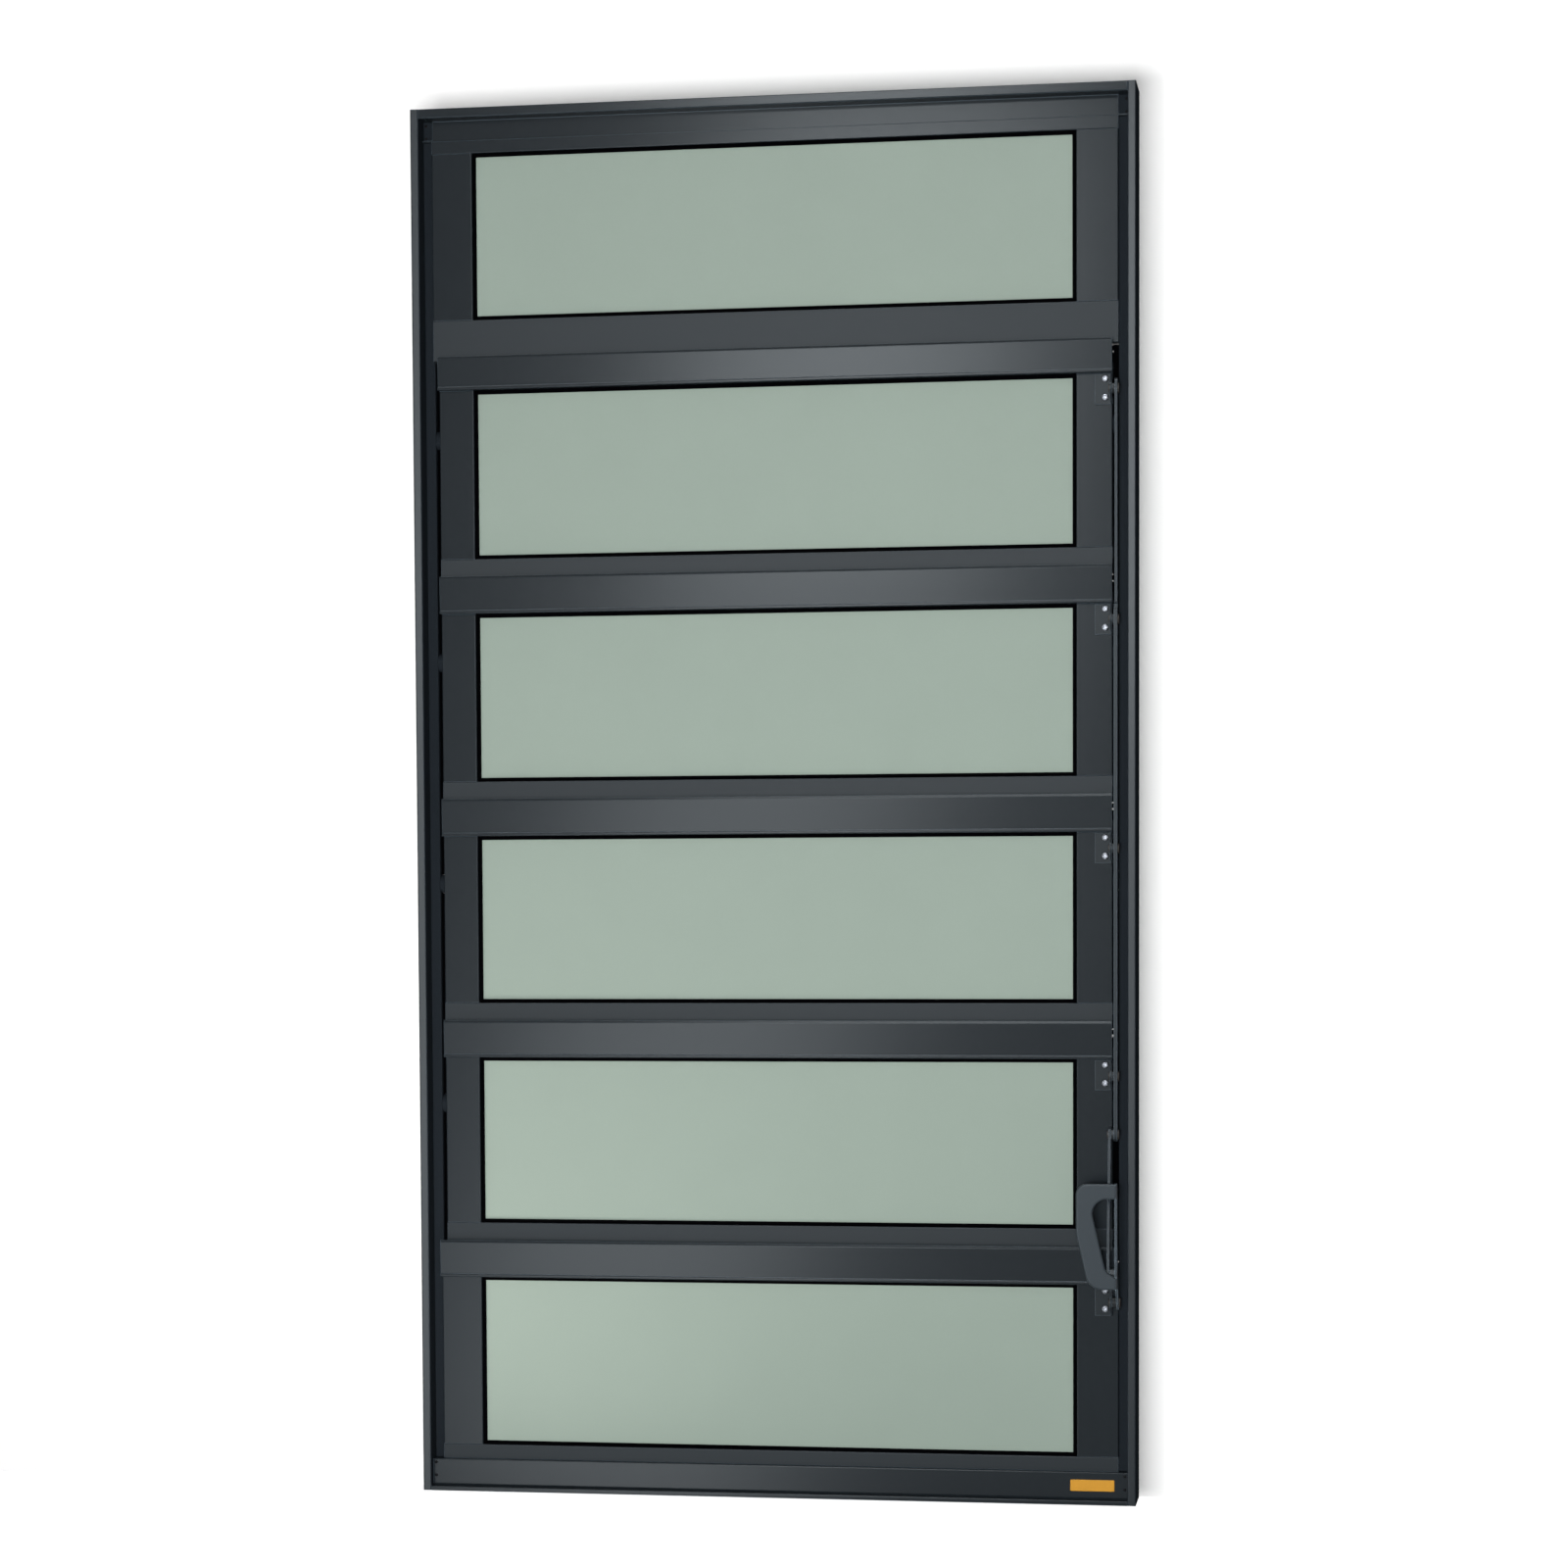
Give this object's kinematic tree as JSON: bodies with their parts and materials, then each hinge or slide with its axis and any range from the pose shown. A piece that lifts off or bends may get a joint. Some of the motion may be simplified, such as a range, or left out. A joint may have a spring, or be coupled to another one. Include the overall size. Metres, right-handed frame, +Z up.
{
  "type": "horizontal pivot window",
  "caption": "Tall narrow aluminium window of stacked glazed lights; the middle ones pivot together by a side link bar and a lever with a C-shaped grip.",
  "frame": {"origin": "middle of the sill's underside", "axes": "+X to the right seen from the room, +Y towards outdoors, +Z up"},
  "size_m": [0.625, 0.0762, 1.2],
  "materials": {
    "frame_paint": "semi-gloss anthracite powder coat",
    "linkage_paint": "semi-gloss anthracite paint on steel",
    "pane_glass": "satin obscured glass",
    "gasket_rubber": "matt black"
  },
  "bodies": {
    "frame": {"head": "frame_paint", "sill": "frame_paint", "left_jamb": "frame_paint", "right_jamb": "frame_paint", "left_seal": "gasket_rubber", "right_seal": "gasket_rubber", "light_1_top_rail": "frame_paint", "light_1_bottom_rail": "frame_paint", "light_1_stiles": "frame_paint", "light_1_glass": "pane_glass", "light_1_gasket": "gasket_rubber", "light_6_top_rail": "frame_paint", "light_6_bottom_rail": "frame_paint", "light_6_stiles": "frame_paint", "light_6_glass": "pane_glass", "light_6_gasket": "gasket_rubber", "light_6_bracket": "linkage_paint"},
    "light_2": {"light_2_top_rail": "frame_paint", "light_2_bottom_rail": "frame_paint", "light_2_stiles": "frame_paint", "light_2_glass": "pane_glass", "light_2_gasket": "gasket_rubber", "light_2_bracket": "linkage_paint"},
    "light_3": {"light_3_top_rail": "frame_paint", "light_3_bottom_rail": "frame_paint", "light_3_stiles": "frame_paint", "light_3_glass": "pane_glass", "light_3_gasket": "gasket_rubber", "light_3_bracket": "linkage_paint"},
    "light_4": {"light_4_top_rail": "frame_paint", "light_4_bottom_rail": "frame_paint", "light_4_stiles": "frame_paint", "light_4_glass": "pane_glass", "light_4_gasket": "gasket_rubber", "light_4_bracket": "linkage_paint"},
    "light_5": {"light_5_top_rail": "frame_paint", "light_5_bottom_rail": "frame_paint", "light_5_stiles": "frame_paint", "light_5_glass": "pane_glass", "light_5_gasket": "gasket_rubber", "light_5_bracket": "linkage_paint"},
    "link_bar": {"link_bar": "linkage_paint"},
    "lever": {"lever": "linkage_paint"},
    "connecting_link": {"connecting_link": "linkage_paint"}
  },
  "joints": [
    {"name": "light_2_pivot", "type": "hinge", "parent": "frame", "child": "light_2", "pos_m": [0, 0.002, 0.9188], "axis": [1, 0, 0], "range_deg": [0, 70]},
    {"name": "light_3_pivot", "type": "hinge", "parent": "frame", "child": "light_3", "pos_m": [0, 0.002, 0.7258], "axis": [1, 0, 0], "range_deg": [0, 70]},
    {"name": "light_4_pivot", "type": "hinge", "parent": "frame", "child": "light_4", "pos_m": [0, 0.002, 0.5328], "axis": [1, 0, 0], "range_deg": [0, 70]},
    {"name": "light_5_pivot", "type": "hinge", "parent": "frame", "child": "light_5", "pos_m": [0, 0.002, 0.3398], "axis": [1, 0, 0], "range_deg": [0, 70]},
    {"name": "link_bar_pin", "type": "hinge", "parent": "light_2", "child": "link_bar", "pos_m": [0, -0.02, 0.9458], "axis": [1, 0, 0], "range_deg": [-70, 0]},
    {"name": "lever_pivot", "type": "hinge", "parent": "frame", "child": "lever", "pos_m": [0, -0.02, 0.1738], "axis": [1, 0, 0], "range_deg": [0, 70]},
    {"name": "connecting_link_pin", "type": "hinge", "parent": "lever", "child": "connecting_link", "pos_m": [0, -0.042, 0.2008], "axis": [1, 0, 0], "range_deg": [-70, 0]}
  ],
  "couplings": [
    {"joint": "light_3_pivot", "follows": "light_2_pivot", "ratio": 1},
    {"joint": "light_4_pivot", "follows": "light_2_pivot", "ratio": 1},
    {"joint": "light_5_pivot", "follows": "light_2_pivot", "ratio": 1},
    {"joint": "link_bar_pin", "follows": "light_2_pivot", "ratio": -1},
    {"joint": "lever_pivot", "follows": "light_2_pivot", "ratio": 1},
    {"joint": "connecting_link_pin", "follows": "light_2_pivot", "ratio": -1}
  ]
}
